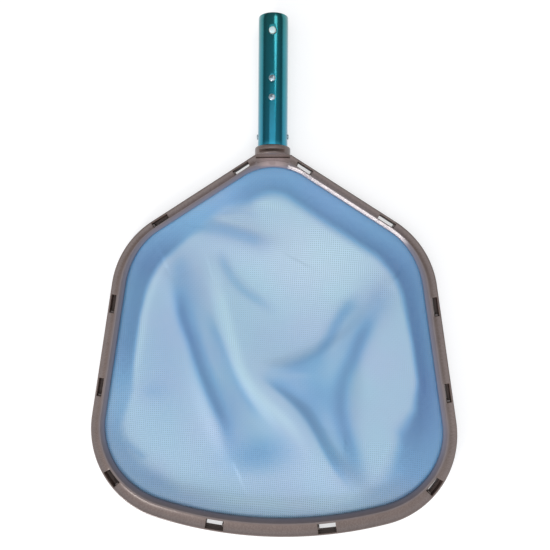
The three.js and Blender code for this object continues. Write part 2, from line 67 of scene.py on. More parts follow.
def feed(node, inputs):
    for name, value in inputs.items():
        socket = node.inputs[name] if isinstance(name, int) else out(node.inputs, name)
        if isinstance(value, bpy.types.Node):
            value = out(value.outputs)
        if isinstance(value, bpy.types.NodeSocket):
            node.id_data.links.new(value, socket)
        else:
            socket.default_value = toLinear(value) if str(value).startswith("#") else value


def addNode(tree, kind, inputs=None, stops=(), **settings):
    node = tree.nodes.new(kind if "Node" in kind else "ShaderNode" + kind)
    for name, value in settings.items():
        setattr(node, name, value)
    for at, _ in stops[1:-1]:
        node.color_ramp.elements.new(at)
    for stop, (at, tint) in zip(node.color_ramp.elements if stops else (), stops):
        stop.position, stop.color = at, toLinear(tint)
    feed(node, inputs or {})
    return node


def newMaterial(name, **plain):
    material = bpy.data.materials.new(name)
    material.use_nodes = True
    shader = material.node_tree.nodes["Principled BSDF"]
    feed(shader, {key.replace("_", " "): value for key, value in plain.items()})
    return material, partial(addNode, material.node_tree), shader


def softEdges(item, angle):
    item.data.polygons.foreach_set("use_smooth", [True] * len(item.data.polygons))
    item.data.set_sharp_from_angle(angle=math.radians(angle))


def meshItem(name, mesh, material, smoothAngle):
    item = bpy.data.objects.new(name, mesh)
    scene.collection.objects.link(item)
    if material:
        mesh.materials.append(material)
    softEdges(item, smoothAngle)
    return item


def meshObject(name, points, faces, material=None, smoothAngle=35, form="solid", marks=None):
    mesh = bpy.data.meshes.new(name)
    mesh.from_pydata([tuple(float(c) * mm for c in p) for p in points], [], faces)
    for mark, values in (marks or {}).items():
        mesh.attributes.new(mark, "FLOAT", "POINT").data.foreach_set("value", values)
    if form != "loose":
        shape = bmesh.new()
        shape.from_mesh(mesh)
        if form == "solid":
            bmesh.ops.remove_doubles(shape, verts=shape.verts, dist=1e-7)
        bmesh.ops.recalc_face_normals(shape, faces=shape.faces)
        if form == "sheet" and sum(face.normal.z for face in shape.faces) < 0:
            bmesh.ops.reverse_faces(shape, faces=shape.faces)
        shape.to_mesh(mesh)
        shape.free()
    return meshItem(name, mesh, material, smoothAngle)


# The faces between two rings of points, either of which may be a single point
def between(a, b, count):
    pairs = [(i, i + 1) for i in range(count)]
    quads = [(a[i % len(a)], a[j % len(a)], b[j % len(b)], b[i % len(b)]) for i, j in pairs]
    return [face for face in map(tuple, map(dict.fromkeys, quads)) if len(face) > 2]


def prism(name, outline, place, material, smoothAngle=35):
    points = [place(side, *pair) for side in (-1, 1) for pair in outline]
    count = len(outline)
    faces = [tuple(range(count)), tuple(range(2 * count - 1, count - 1, -1))]
    faces += [(i, (i + 1) % count, count + (i + 1) % count, count + i) for i in range(count)]
    return meshObject(name, points, faces, material, smoothAngle)


def bevelled(item, width, segments=2):
    modifier = item.modifiers.new("softened edges", "BEVEL")
    modifier.width = width * mm
    modifier.segments = segments
    modifier.limit_method = "ANGLE"
    modifier.angle_limit = math.radians(40)
    return item


def plainMesh(item, smoothAngle=35):
    graph = bpy.context.evaluated_depsgraph_get()
    mesh = bpy.data.meshes.new_from_object(item.evaluated_get(graph))
    item.modifiers.clear()
    item.data = mesh
    softEdges(item, smoothAngle)
    return item


def joined(name, items):
    shape = bmesh.new()
    for item in items:
        shape.from_mesh(item.data)
    mesh = bpy.data.meshes.new(name)
    shape.to_mesh(mesh)
    shape.free()
    result = meshItem(name, mesh, items[0].data.materials[0], 35)
    for item in items:
        bpy.data.objects.remove(item)
    return result


def cornerVertices(mesh):
    found = np.empty(len(mesh.loops), dtype=np.int32)
    mesh.loops.foreach_get("vertex_index", found)
    return found


def dressed(item, slot, body, *nodes):
    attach(item, body)
    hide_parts(*nodes)


def newTree(name, inputs):
    tree = bpy.data.node_groups.new(name, "GeometryNodeTree")
    for label, kind in {"Geometry": "Geometry", **inputs, "Material": "Material"}.items():
        tree.interface.new_socket(name=label, in_out="INPUT", socket_type="NodeSocket" + kind)
    tree.interface.new_socket(name="Geometry", in_out="OUTPUT", socket_type="NodeSocketGeometry")
    return tree, partial(addNode, tree), tree.nodes.new("NodeGroupInput").outputs


def closeTree(add, given, geometry):
    real = add("GeometryNodeRealizeInstances", {"Geometry": geometry})
    coat = add("GeometryNodeSetMaterial", {"Geometry": real, "Material": given["Material"]})
    add("NodeGroupOutput", {"Geometry": coat})


# A tree that sets a copy of the seed on every point, turned about the upright
def spreadTree(name, inputs, lay):
    tree, add, given = newTree(name, {"Seed": "Object", **inputs})
    points, turn = lay(add, given)
    seed = add("GeometryNodeObjectInfo", {"Object": given["Seed"], "As Instance": True})
    spread = add("GeometryNodeInstanceOnPoints", {
        "Points": points, "Instance": seed.outputs["Geometry"],
        "Rotation": add("CombineXYZ", {"Z": turn})})
    closeTree(add, given, spread)
    return tree


def grown(item, tree, values, edge=0):
    modifier = item.modifiers.new(tree.name, "NODES")
    modifier.node_group = tree
    for socket in tree.interface.items_tree:
        if socket.in_out == "INPUT" and socket.name in values:
            modifier[socket.identifier] = values[socket.name]
    if edge:
        bevelled(item, edge)
    return plainMesh(item)


# Camera: straight above, a little to the right of the handle's line

cameraSet = Sizes(place=(0.0336, 0.0054, 0.5754), turn=(-0.002, 0.0546, 0.0068), lens=38.13)

lensData = bpy.data.cameras.new("camera")
lensData.lens = cameraSet.lens
lensData.sensor_width = 36
lensData.clip_start = 0.01
camera = bpy.data.objects.new("camera", lensData)
camera.location = cameraSet.place
camera.rotation_euler = cameraSet.turn
scene.collection.objects.link(camera)
scene.camera = camera
print("camera placed")

# Materials

# Polypropylene moulding: glossy grey-brown, faint moulding grain, one side painted darker and one
# lighter. Painted shade lies along the inner slope, with a blue cast of light bounced off the net,
# and in the windows, the saw cut, the shallow channel and on the outer edge. Painted light makes the
# neck pale.
# Mottle, scuffs and grain have a size, a detail and a roughness. The grain is about 0.4 mm in life,
# and is drawn twice as coarse so that it doesn't turn to noise.
frameFinish = Sizes(
    base="#61544f", pale="#776963", mottle=(14, 4.0, 0.6), scuff=(2.2, 6.0, 0.7),
    grain=(0.8, 2.0, 0.5), fadeSize=190, fadeShift=0.3, fade=0.25, gloss=(0.13, 0.3), caked=0.95,
    haze="#6b7083", hazeFrom=4.4, hazeFull=1.0, hazeMost=0.85, hazeLess=0.4, grime="#3f220c",
    windowGrime=0.6, channelGrime=0.09, edgeGrime=0.1, cutGrime=0.6, rubbed="#a08e8c",
    rubbedReach=15, rubbedMost=0.9,
)


def mouldedPolypropylene(finish):
    material, add, shader = newMaterial("mouldedPolypropylene", IOR=1.49)
    place = add("TexCoord").outputs["Object"]
    mottle, scuff, grain = (
        add("TexNoise", {"Vector": place, "Scale": metre / size, "Detail": detail, "Roughness": fine})
        for size, detail, fine in (finish.mottle, finish.scuff, finish.grain))
    # Painted shade and light: a broad noise, shifted so that one side of the frame renders darker and
    # the other lighter
    moved = add("Mapping", {"Vector": place, "Location": (finish.fadeShift, 0, 0)})
    fade = add("TexNoise", {"Vector": moved, "Scale": metre / finish.fadeSize, "Detail": 1.0})
    uneven = add("MapRange", {"Value": fade, "From Min": 0.3, "From Max": 0.7,
                              "To Min": -finish.fade, "To Max": finish.fade})
    blend = add("Math", {0: mottle, 1: uneven}, operation="ADD", use_clamp=True)
    colour = add("Mix", {"Factor": blend, "A": finish.base, "B": finish.pale}, data_type="RGBA")
    # Painted shade in the recesses and on the outer edge comes last; its mask also makes the surface
    # matte
    for mark in ("haze", "rubbed", "grime"):     # grime last, since it also takes the gloss
        amount = add("Attribute", attribute_name=mark).outputs["Fac"]
        colour = add("Mix", {"Factor": amount, "A": colour, "B": finish[mark]}, data_type="RGBA")
    low, high = finish.gloss
    rough = add("MapRange", {"Value": scuff, "From Min": 0.3, "From Max": 0.75,
                             "To Min": low, "To Max": high})
    caked = add("Mix", {"Factor": amount, "A": rough, "B": finish.caked}, data_type="FLOAT")
    bump = add("Bump", {"Height": grain, "Strength": 0.1, "Distance": 0.00005})
    feed(shader, {"Base Color": colour, "Roughness": caked, "Normal": bump})
    return material


# Anodised aluminium: a clear teal film over drawn metal, with faint draw lines along the tube.
# The film is greener and darker at the mouth, and bluer and lighter towards the collar.
tubeFinish = Sizes(
    film=((0, "#1f8ba3"), (0.4, "#1b8896"), (0.7, "#1b8793"), (1, "#1f8081")), filmFrom=140,
    filmTo=250, bare="#ffffff", line="#c4d2d8", lineWidth=0.25, stretch=0.02, cloudSize=22,
)


def anodisedAluminium(finish):
    material, add, shader = newMaterial("anodisedAluminium", Metallic=1.0, Coat_Weight=1.0,
                                        Coat_Roughness=0.08, Coat_IOR=1.33)
    place = add("TexCoord").outputs["Object"]
    drawn = add("Mapping", {"Vector": place, "Scale": (1, finish.stretch, 1)})
    lines = add("TexNoise", {"Vector": drawn, "Scale": metre / finish.lineWidth,
                             "Detail": 3.0, "Roughness": 0.65})
    cloud = add("TexNoise", {"Vector": place, "Scale": metre / finish.cloudSize, "Detail": 2.0})
    blend = add("Math", {0: lines, 1: cloud}, operation="MULTIPLY")
    along = add("MapRange", {"Value": add("SeparateXYZ", {"Vector": place}).outputs["Y"],
                             "From Min": finish.filmFrom * mm, "From Max": finish.filmTo * mm})
    film = add("ValToRGB", {"Fac": along}, finish.film)
    streak = add("Mix", {"Factor": blend, "A": finish.bare, "B": finish.line}, data_type="RGBA")
    tint = add("Mix", {"Factor": 1.0, "A": film, "B": streak},
               data_type="RGBA", blend_type="MULTIPLY")
    rough = add("MapRange", {"Value": lines, "To Min": 0.14, "To Max": 0.26})
    bump = add("Bump", {"Height": lines, "Strength": 0.08, "Distance": 0.00003})
    feed(shader, {"Base Color": tint, "Roughness": rough, "Normal": bump})
    return material


# Bare aluminium and spring steel: grey metal, turned or rolled, with fine scratches. Nylon: pale
# sea green, waxy, lets a little light into its skin.
grainFinish = {
    "bareAluminium": Sizes(
        plain={"Metallic": 1.0}, tints=("#b9c6cc", "#9aa8b0"), size=0.5, detail=5.0, fine=0.7,
        rough=(0.22, 0.4), bump=0.1),
    "springSteel": Sizes(
        plain={"Metallic": 1.0}, tints=("#b3b7ba", "#8b9094"), size=0.3, detail=5.0, fine=0.7,
        rough=(0.2, 0.36), bump=0.1),
    "mouldedNylon": Sizes(
        plain={"IOR": 1.53, "Subsurface_Weight": 0.15, "Subsurface_Scale": 0.001},
        tints=("#bdd9da", "#cfe4e3"), size=1.5, detail=3.0, fine=0.5, rough=(0.32, 0.46), bump=0.08),
}


def grainedMaterial(name):
    finish = grainFinish[name]
    material, add, shader = newMaterial(name, **finish.plain)
    place = add("TexCoord").outputs["Object"]
    grain = add("TexNoise", {"Vector": place, "Scale": metre / finish.size,
                             "Detail": finish.detail, "Roughness": finish.fine})
    first, second = finish.tints
    low, high = finish.rough
    feed(shader, {
        "Base Color": add("Mix", {"Factor": grain, "A": first, "B": second}, data_type="RGBA"),
        "Roughness": add("MapRange", {"Value": grain, "To Min": low, "To Max": high}),
        "Normal": add("Bump", {"Height": grain, "Strength": finish.bump, "Distance": 0.00004})})
    return material


framePlastic = mouldedPolypropylene(frameFinish)
tubeAnodised = anodisedAluminium(tubeFinish)
rivetAluminium, clipSteel, buttonNylon = (grainedMaterial(name) for name in grainFinish)
print("materials made")

# The frame's outline: a shield with two shoulders, rounded corners and a bowed far edge

outlineSet = Sizes(
    length=370.7, width=355.8, shoulderAngle=32.7, sideLean=8.4, upperRadius=87.3, lowerRadius=89.4,
    farRadius=411, apexRadius=10, neckFillet=55, rootX=17, rootY=120.85, bandShoulder=10.5,
    bandSide=12.5, bandFar=16.5, step=3,
)
rootY = outlineSet.rootY


def facing(degrees):
    return np.array([math.cos(math.radians(degrees)), math.sin(math.radians(degrees))])


def halfOutline(s):
    shoulder, lean = 90 - s.shoulderAngle, s.sideLean
    shoulderOut, sideOut = facing(shoulder), facing(lean)
    apexRadius, upper, lower, far = s.apexRadius, s.upperRadius, s.lowerRadius, s.farRadius
    root = np.array([s.rootX, 0.0])

    def apex(radius, inset):
        return np.array([0.0, (root @ shoulderOut - inset - radius) / shoulderOut[1]])

    farCentre = np.array([0.0, far - s.length])
    lowerX = s.width / 2 - lower
    lowerCentre = np.array([lowerX, farCentre[1] - math.sqrt((far - lower) ** 2 - lowerX ** 2)])
    reaches = [root @ shoulderOut - upper, lowerCentre @ sideOut + lower - upper]
    upperCentre = np.linalg.solve(np.array([shoulderOut, sideOut]), reaches)
    outerApex, innerApex = apex(apexRadius, 0), apex(s.neckFillet, s.bandShoulder)
    lowerEnd = math.degrees(math.atan2(lowerCentre[1] - farCentre[1], lowerCentre[0]))
    ends = [outerApex + shoulderOut * apexRadius, upperCentre + shoulderOut * upper,
            upperCentre + sideOut * upper, lowerCentre + sideOut * lower]
    narrow, middle, wide = s.bandShoulder, s.bandSide, s.bandFar
    runs = [
        ("arc", outerApex, apexRadius, 90, shoulder, narrow, narrow),
        ("line", ends[0], ends[1], shoulderOut, narrow),
        ("arc", upperCentre, upper, shoulder, lean, narrow, middle),
        ("line", ends[2], ends[3], sideOut, middle),
        ("arc", lowerCentre, lower, lean, lowerEnd, middle, wide),
        ("arc", farCentre, far, lowerEnd, -90, wide, wide),
    ]
    filletEndY = (innerApex + shoulderOut * (s.neckFillet + narrow))[1]
    return runs, innerApex, filletEndY, np.linalg.norm(root - ends[0])


outlineRuns, innerApex, filletEndY, rootToApexEnd = halfOutline(outlineSet)


def runLength(run):
    if run[0] == "line":
        return float(np.linalg.norm(run[2] - run[1]))
    return run[2] * math.radians(abs(run[4] - run[3]))


rootAlong = runLength(outlineRuns[0]) + rootToApexEnd     # to the shoulder root, from mid-neck
halfLength = sum(runLength(run) for run in outlineRuns)


def outlineAt(distance):
    left = min(max(distance, 0.0), halfLength)
    for run in outlineRuns:
        length = runLength(run)
        if left <= length or run is outlineRuns[-1]:
            share = min(left / length, 1.0)
            break
        left -= length
    if run[0] == "line":
        return run[1] + (run[2] - run[1]) * share, run[3], run[4]
    ease = share * share * (3 - 2 * share)
    outward = facing(run[3] + (run[4] - run[3]) * share)
    return run[1] + outward * run[2], outward, run[5] + (run[6] - run[5]) * ease


# Windows through both halves, at these distances from the shoulder root on each side. Along the
# sides the lower half's outer wall stands in as a ledge, which starts higher up on the left.
windowSet = Sizes(
    along=(18.5, 113, 215, 298, 395, 514), length=18, wall=1.9, width=4.6, gain=1.15, edge=0.3,
    ledge=2, ledgeFrom=-345, ledgeUntil=(-45, -100),
)


def windowSpan(band):
    wider = max(0, band - outlineSet.bandSide) * windowSet.gain
    return windowSet.wall, windowSet.wall + windowSet.width + wider


# Below the neck the inner edge follows the fillet, so the band there is measured to its centre
def stationAt(distance, inWindow=False):
    edge, outward, band = outlineAt(distance)
    inward, depth = -outward, band
    if edge[1] > filletEndY - 1e-6:
        reach = float(np.linalg.norm(innerApex - edge))
        inward, depth = (innerApex - edge) / reach, reach - outlineSet.neckFillet
    return Sizes(edge=edge, out=outward, inward=inward, depth=depth, band=band, window=inWindow)


def wholeRing(half):
    flip = np.array([-1.0, 1.0])
    return half + [Sizes(s, edge=s.edge * flip, out=s.out * flip, inward=s.inward * flip)
                   for s in reversed(half[1:-1])]


def ringStations(extraMarks=()):
    reach, edge, crowd = windowSet.length / 2, windowSet.edge, 0.25
    windows = [(rootAlong + along - reach, rootAlong + along + reach) for along in windowSet.along]
    special = {mark for low, high in windows for mark in (low, high, low - edge, high + edge)}
    special |= set(extraMarks)
    marks = {0.0, halfLength} | special | {(low + high) / 2 for low, high in windows}
    travelled = 0
    for run in outlineRuns:
        length = runLength(run)
        count = max(2, round(length / outlineSet.step))
        marks |= {travelled + length * i / count for i in range(count)}
        travelled += length
    kept = [mark for mark in sorted(marks) if mark in special or mark in (0.0, halfLength)
            or not any(abs(mark - other) < crowd for other in special)]
    return wholeRing([stationAt(mark, any(low - 1e-9 <= mark <= high + 1e-9 for low, high in windows))
                      for mark in kept])


# Frame halves. Columns run up the outside, in across the top, down the inside and back out below.
frameSet = Sizes(
    thickness=13, split=6.2, gap=0.3, edge=1.2, slopeWidth=3.3, slopeDrop=2.8, lip=0.8, slit=0.9,
    channel=1.3, partingEdge=0.3, lipEdge=0.15, channelDepth=0.2, neckHalf=17.3, upperNeckY=-3.3,
    lowerNeckY=2.65,
)


def corner(radius, inset, height, start, end, steps=3):
    angles = [math.radians(start + (end - start) * i / steps) for i in range(steps + 1)]
    return [(inset + radius * math.cos(angle), height + radius * math.sin(angle)) for angle in angles]


def upperColumns(station, cut):
    f, depth = frameSet, station.depth
    outer, inner = windowSpan(station.band)
    split, top, floor, small, wide = f.split, f.thickness, f.split + f.gap / 2, windowSet.edge, f.edge
    lip, channel, slope = depth - f.lip, depth - f.lip - 2 * f.channel, depth - f.slopeWidth - 0.15
    sunk, low, fine = top - (small if cut else f.channelDepth), top - f.slopeDrop, f.lipEdge
    return [
        (f.partingEdge, floor), (0, floor + f.partingEdge), *corner(wide, wide, top - wide, 180, 90),
        (outer - small, top), (outer, sunk), (inner, sunk), (inner + small, top),
        (slope, top), (slope + 0.25, top - 0.08), (slope + 0.5, top - 0.28),
        (depth - 0.55, low + 0.45), (depth - 0.3, low + 0.2), (depth - 0.08, low - 0.05),
        (depth, low - 0.4), (depth, split + f.slit + fine), (depth - fine, split + f.slit),
        (lip, split + f.slit), (lip, split + f.channel), (channel, split + f.channel),
        (channel, floor), (inner, floor), (outer, floor),
    ]


def lowerColumns(station, cut):
    f, depth, (x, y) = frameSet, station.depth, station.edge
    outer, inner = windowSpan(station.band)
    if windowSet.ledgeFrom < y < windowSet.ledgeUntil[x > 0]:
        outer += windowSet.ledge
    split, top, small, wide = f.split, f.split - f.gap / 2, windowSet.edge, f.edge
    lip, channel, fine = depth - f.lip, depth - f.lip - 2 * f.channel, f.lipEdge
    raised = small if cut else 0
    return [
        *corner(wide, wide, wide, 270, 180), (0, top - f.partingEdge), (f.partingEdge, top),
        (outer, top), (inner, top), (channel, top), (channel, split - f.channel),
        (lip, split - f.channel), (lip, split - f.slit),
        (depth - fine, split - f.slit), (depth, split - f.slit - fine),
        *corner(wide, depth - wide, wide, 0, -90),
        (inner + small, 0), (inner, raised), (outer, raised), (outer - small, 0),
    ]


# The columns at a window's outer and inner wall: the upper pair, and the pair below it
upperWindow = ((7, 8), (24, 23))
lowerWindow = ((6, 7), (20, 19))


def ringMarks(station, section, wallColumns):
    finish, (x, y), depth = frameFinish, station.edge, station.depth
    # Painted shade along the inner slope, weaker along the far edge, with a blue cast of light
    # bounced off the net
    strength = finish.hazeMost - finish.hazeLess * max(0, -station.out[1]) ** 2
    # Painted light on the frame next to the neck
    gripped = math.exp(-(x / finish.rubbedReach) ** 4) if y > -100 else 0
    # Painted shade in the windows and the channel, and along the outer edge
    walls = finish.windowGrime if station.window else finish.channelGrime
    for column, (inset, _) in enumerate(section):
        haze = (inset - depth + finish.hazeFrom) / (finish.hazeFrom - finish.hazeFull)
        rubbed = finish.rubbedMost * gripped * min(max((depth - inset) / 2, 0), 1)
        grime = walls if column in wallColumns else finish.edgeGrime * (inset < 0.6)
        yield strength * min(max(haze, 0), 1), rubbed, grime


def sweptRing(name, stations, columns, window, neckY):
    points, marks = [], []
    for station in stations:
        edge, inward, depth = station.edge, station.inward, station.depth
        start = 0.0
        if edge[1] > neckY and abs(edge[0]) < frameSet.neckHalf:
            start = (edge[1] - neckY) / -inward[1]
        section = columns(station, station.window)
        for inset, height in section:
            place = edge + inward * (start + inset * (depth - start) / depth)
            points.append((place[0], place[1] + rootY, height))
        marks += ringMarks(station, section, {*window[0], *window[1]})
    faces, count, total = [], len(section), len(stations)
    for i in range(total):
        j = (i + 1) % total
        opening = stations[i].window and stations[j].window
        for k in range(count):
            m = (k + 1) % count
            if not (opening and {k, m} in (set(window[0]), set(window[1]))):
                faces.append((i * count + k, i * count + m, j * count + m, j * count + k))
        if opening:
            faces += [(i * count + a, j * count + a, j * count + b, i * count + b)
                      for a, b in zip(*window)]
        for here, there in ((i, j), (j, i)):
            if stations[here].window and not stations[there].window:
                faces.append(tuple(here * count + c for c in (*window[0], *reversed(window[1]))))
    return meshObject(name, points, faces, framePlastic,
                      marks=dict(zip(("haze", "rubbed", "grime"), zip(*marks))))


def markWhere(x):
    low, high = 0.0, rootAlong + 20
    for _ in range(50):
        middle = (low + high) / 2
        low, high = (middle, high) if outlineAt(middle)[0][0] < x else (low, middle)
    return low


besideCollar = markWhere(frameSet.neckHalf)
upperHalf = sweptRing("frameUpperHalf", ringStations((besideCollar - 0.01, besideCollar + 0.01)),
                      upperColumns, upperWindow, frameSet.upperNeckY)
lowerRing = sweptRing("lowerRing", ringStations(), lowerColumns, lowerWindow, frameSet.lowerNeckY)
print("frame halves swept", len(upperHalf.data.polygons), len(lowerRing.data.polygons))

# Snap hooks: one sprung tongue at the far end of every window, with a ramped barb, placed by a tree

hook = Sizes(
    width=3.2, thickness=1.5, barb=0.6, height=10.4, barbHeight=1.4, gap=0.3, foot=1.2,
    rootTop=5.75, edge=0.15,
)


def hookShape(h):
    end, low, rootTop, top = windowSet.length / 2, h.foot, h.rootTop, h.height
    root, back, barbLow = end + h.barb, end - h.gap, top - h.barbHeight
    outline = [(root, low), (root, rootTop), (back, rootTop), (back, barbLow), (root, barbLow),
               (root, top - h.barbHeight / 2), (back, top),
               (back - h.thickness, top), (back - h.thickness, low)]
    return prism("hookSeed", outline, lambda side, along, height: (along, side * h.width / 2, height),
                 framePlastic)


def hookPlaces():
    for along in windowSet.along:
        edge, outward, band = outlineAt(rootAlong + along)
        foot = edge - outward * sum(windowSpan(band)) / 2
        for side in (1, -1):
            yield (side * foot[0], foot[1] + rootY, 0), math.atan2(-outward[0], side * outward[1])


def layHooks(add, given):
    turn = add("GeometryNodeInputNamedAttribute", {"Name": "turn"}, data_type="FLOAT")
    return add("GeometryNodeMeshToPoints", {"Mesh": given["Geometry"]}), turn.outputs["Attribute"]


places, turns = zip(*hookPlaces())
hookPoints = meshObject("snapHooks", places, [], form="loose", marks={"turn": turns})
hookSeed = bevelled(hookShape(hook), hook.edge, 1)
snapHooks = grown(hookPoints, spreadTree("hooksAtWindows", {}, layHooks),
                  {"Seed": hookSeed, "Material": framePlastic})
bpy.data.objects.remove(hookSeed)
print("snap hooks", len(snapHooks.data.polygons))

# Neck: a round collar with a saw-cut groove, and a hollow plug that fills the tube

neck = Sizes(
    radius=17, axis=17, back=3, face=5.3, round=1.8, plugRadius=12.7, plugWall=3.7, plugEnd=74.4,
    plugFloor=6, lead=1.3, grooveAt=0, grooveWidth=2.6, grooveDepth=4.7, edge=0.2, sides=96,
)
tube = Sizes(
    radius=14.3, wall=1.3, start=5.6, length=123.4, edge=0.25, holeEdge=0.15, sides=96, rows=24,
    rivetsAt=(44, 61.8), rivetHole=1.9, sideRivetAt=10, sideHole=2.3, buttonFromMouth=16.8,
    buttonHole=3.9, punch=20,
)
axisZ, punch = neck.axis, tube.punch
tubeEnd = tube.start + tube.length
buttonAlong = tubeEnd - tube.buttonFromMouth


# Turned about the tube's axis, about a line across it, or about an upright, up or down from it
def turned(name, profile, sides, material, axis="y", along=0.0):
    points, rings = [], []
    for radius, reach in profile:
        ring = []
        for i in range(1 if radius < 1e-6 else sides):
            angle = 2 * math.pi * i / sides
            c, s = radius * math.cos(angle), radius * math.sin(angle)
            if axis == "y":
                point = (c, reach + rootY, axisZ + s)
            elif axis == "x":
                point = (reach, along + rootY + c, axisZ + s)
            else:
                point = (c, along + rootY + s, axisZ + (reach if axis == "up" else -reach))
            ring.append(len(points))
            points.append(point)
        rings.append(ring)
    faces = [face for a, b in zip(rings, rings[1:]) for face in between(a, b, sides)]
    if len(rings[0]) > 1 and profile[0] != profile[-1]:
        faces += [rings[0], rings[-1]]
    return meshObject(name, points, faces, material)


def neckProfile(n):
    radius, face, plug, end, lead = n.radius, n.face, n.plugRadius, n.plugEnd, n.lead
    back, bore, floor = n.back, plug - n.plugWall, face + n.plugFloor
    return [
        (0, -back), (radius - 0.5, -back), (radius, -back + 0.5),
        *corner(n.round, radius - n.round, face - n.round, 0, 90, 4),
        (plug + 0.2, face), (plug, face + 0.2), (plug, end - lead), (plug - lead, end),
        (bore, end), (bore, floor), (0, floor),
    ]


# A tree that punches round holes through a part, and saws a groove where one is asked for
def punchTree(name, holes, sawn=False):
    labels = {f"{hole} {word}": "Float" for hole in holes for word in ("radius", "along")}
    labels |= {f"Groove {word}": "Float" for word in ("width", "along", "floor") if sawn}
    tree, add, given = newTree(name, labels)
    cut = add("GeometryNodeMeshBoolean", {"Mesh 1": given["Geometry"]},
              operation="DIFFERENCE", solver="EXACT")
    for hole, (low, high, sideways) in holes.items():
        rod = add("GeometryNodeMeshCylinder", {
            "Vertices": 48, "Radius": given[f"{hole} radius"], "Depth": (high - low) * mm})
        place = add("CombineXYZ", {"Y": given[f"{hole} along"], "Z": (low + high) / 2 * mm})
        feed(cut, {"Mesh 2": add("GeometryNodeTransform", {
            "Geometry": rod.outputs["Mesh"], "Translation": place,
            "Rotation": (0, math.pi / 2 if sideways else 0, 0)})})
    if sawn:
        bladeWidth, bladeHeight = 60 * mm, 20 * mm
        size = add("CombineXYZ", {"X": bladeWidth, "Y": given["Groove width"], "Z": bladeHeight})
        height = add("Math", {0: given["Groove floor"], 1: bladeHeight / 2})
        place = add("CombineXYZ", {"Y": given["Groove along"], "Z": height})
        blade = add("GeometryNodeMeshCube", {"Size": size}).outputs["Mesh"]
        feed(cut, {"Mesh 2": add("GeometryNodeTransform", {"Geometry": blade, "Translation": place})})
    closeTree(add, given, cut.outputs["Mesh"])
    return tree


def alongTube(distance):
    return (rootY + tube.start + distance) * mm


rivetRows = {"Rivet A radius": tube.rivetHole * mm, "Rivet A along": alongTube(tube.rivetsAt[0]),
             "Rivet B radius": tube.rivetHole * mm, "Rivet B along": alongTube(tube.rivetsAt[1]),
             "Side radius": tube.sideHole * mm, "Side along": alongTube(tube.sideRivetAt)}
rivetHoles = {"Rivet A": (axisZ, 40, False), "Rivet B": (axisZ, 40, False),
              "Side": (axisZ - punch, axisZ + punch, True)}
grooveFloor, grooveY = axisZ + neck.radius - neck.grooveDepth, rootY + neck.grooveAt
neckTree = punchTree("sawnAndDrilledNeck", rivetHoles, sawn=True)
neckBody = grown(turned("neck", neckProfile(neck), neck.sides, framePlastic), neckTree, {
    **rivetRows, "Groove width": neck.grooveWidth * mm, "Groove along": grooveY * mm,
    "Groove floor": grooveFloor * mm, "Material": framePlastic}, neck.edge)
# Painted shade on the floor of the saw cut
sawDust = neckBody.data.attributes.new("grime", "FLOAT", "POINT")
sawDust.data.foreach_set("value", [
    frameFinish.cutGrime * (abs(v.co.y / mm - grooveY) < neck.grooveWidth
                            and abs(v.co.z / mm - grooveFloor) < 0.15)
    for v in neckBody.data.vertices])
frameLower = joined("frameLowerHalf", [lowerRing, snapHooks, neckBody])
dressed(upperHalf, "frame_plastic", "frame", "frame_upper")
dressed(frameLower, "frame_plastic", "frame", "frame_lower")
print("neck", len(frameLower.data.polygons))

# Handle tube: drawn aluminium with broken edges, punched for the fasteners and the two buttons

innerRadius = tube.radius - tube.wall


def tubeProfile():
    outer, inner, start, end, e = tube.radius, innerRadius, tube.start, tubeEnd, tube.edge
    rows = [end + (start - end) * i / tube.rows for i in range(1, tube.rows)]
    return [
        (inner, start + e), (inner + e, start), (outer - e, start), (outer, start + e),
        *[(outer, y) for y in reversed(rows)], (outer, end - e), (outer - e * 0.3, end - e * 0.3),
        (outer - e, end), (inner + e, end), (inner, end - e),
        *[(inner, y) for y in rows], (inner, start + e),
    ]


tubeTree = punchTree("punchedTube", {**rivetHoles, "Button": (axisZ - punch, axisZ + punch, False)})
handleTube = grown(turned("handleTube", tubeProfile(), tube.sides, tubeAnodised), tubeTree, {
    **rivetRows, "Button radius": tube.buttonHole * mm, "Button along": (rootY + buttonAlong) * mm,
    "Material": tubeAnodised}, tube.holeEdge)
dressed(handleTube, "tube_anodised", "frame", "handle_tube")
print("handle tube", len(handleTube.data.polygons))

# Fasteners: two blind rivets on top, their stems broken off inside the heads, and one solid rivet

rivet = Sizes(
    head=3.1, headHeight=1.2, shank=1.6, tail=2.3, tailLength=2.2, dimple=1.0, dimpleDepth=0.75,
    stem=0.75, seat=14.6, tailTop=8.7, sides=32,
)
sidePin = Sizes(shank=2, head=2.6, headHeight=0.9, seat=14.6, sides=32)


def domeProfile(radius, height, base, inner, steps=7):
    last = math.degrees(math.acos(inner / radius))
    turns = [math.radians(last * i / steps) for i in range(steps + 1)]
    return [(radius * math.cos(turn), base + height * math.sin(turn)) for turn in turns]


def rivetProfile(r):
    head, seat, shank, tail, high, dimple = r.head, r.seat, r.shank, r.tail, r.tailTop, r.dimple
    low, top = high - r.tailLength, seat + r.headHeight
    return [
        (0, low), (tail - 0.6, low), (tail, low + 0.7), (tail, high - 0.3), (tail - 0.3, high),
        (shank, high), (shank, seat), (head - 0.12, seat), (head, seat + 0.12),
        *domeProfile(head, r.headHeight, seat + 0.15, dimple),
        (dimple - 0.1, top - 0.1), (dimple - 0.15, top - r.dimpleDepth),
        (r.stem, top - r.dimpleDepth), (r.stem - 0.1, top - 0.35), (0, top - 0.25),
    ]


def layRivets(add, given):
    first, spacing = (add("CombineXYZ", {"Y": given[word]}) for word in ("First", "Spacing"))
    row = add("GeometryNodeMeshLine", {
        "Count": given["Count"], "Start Location": first, "Offset": spacing})
    return row, add("FunctionNodeRandomValue", {"Seed": 5}, data_type="FLOAT")


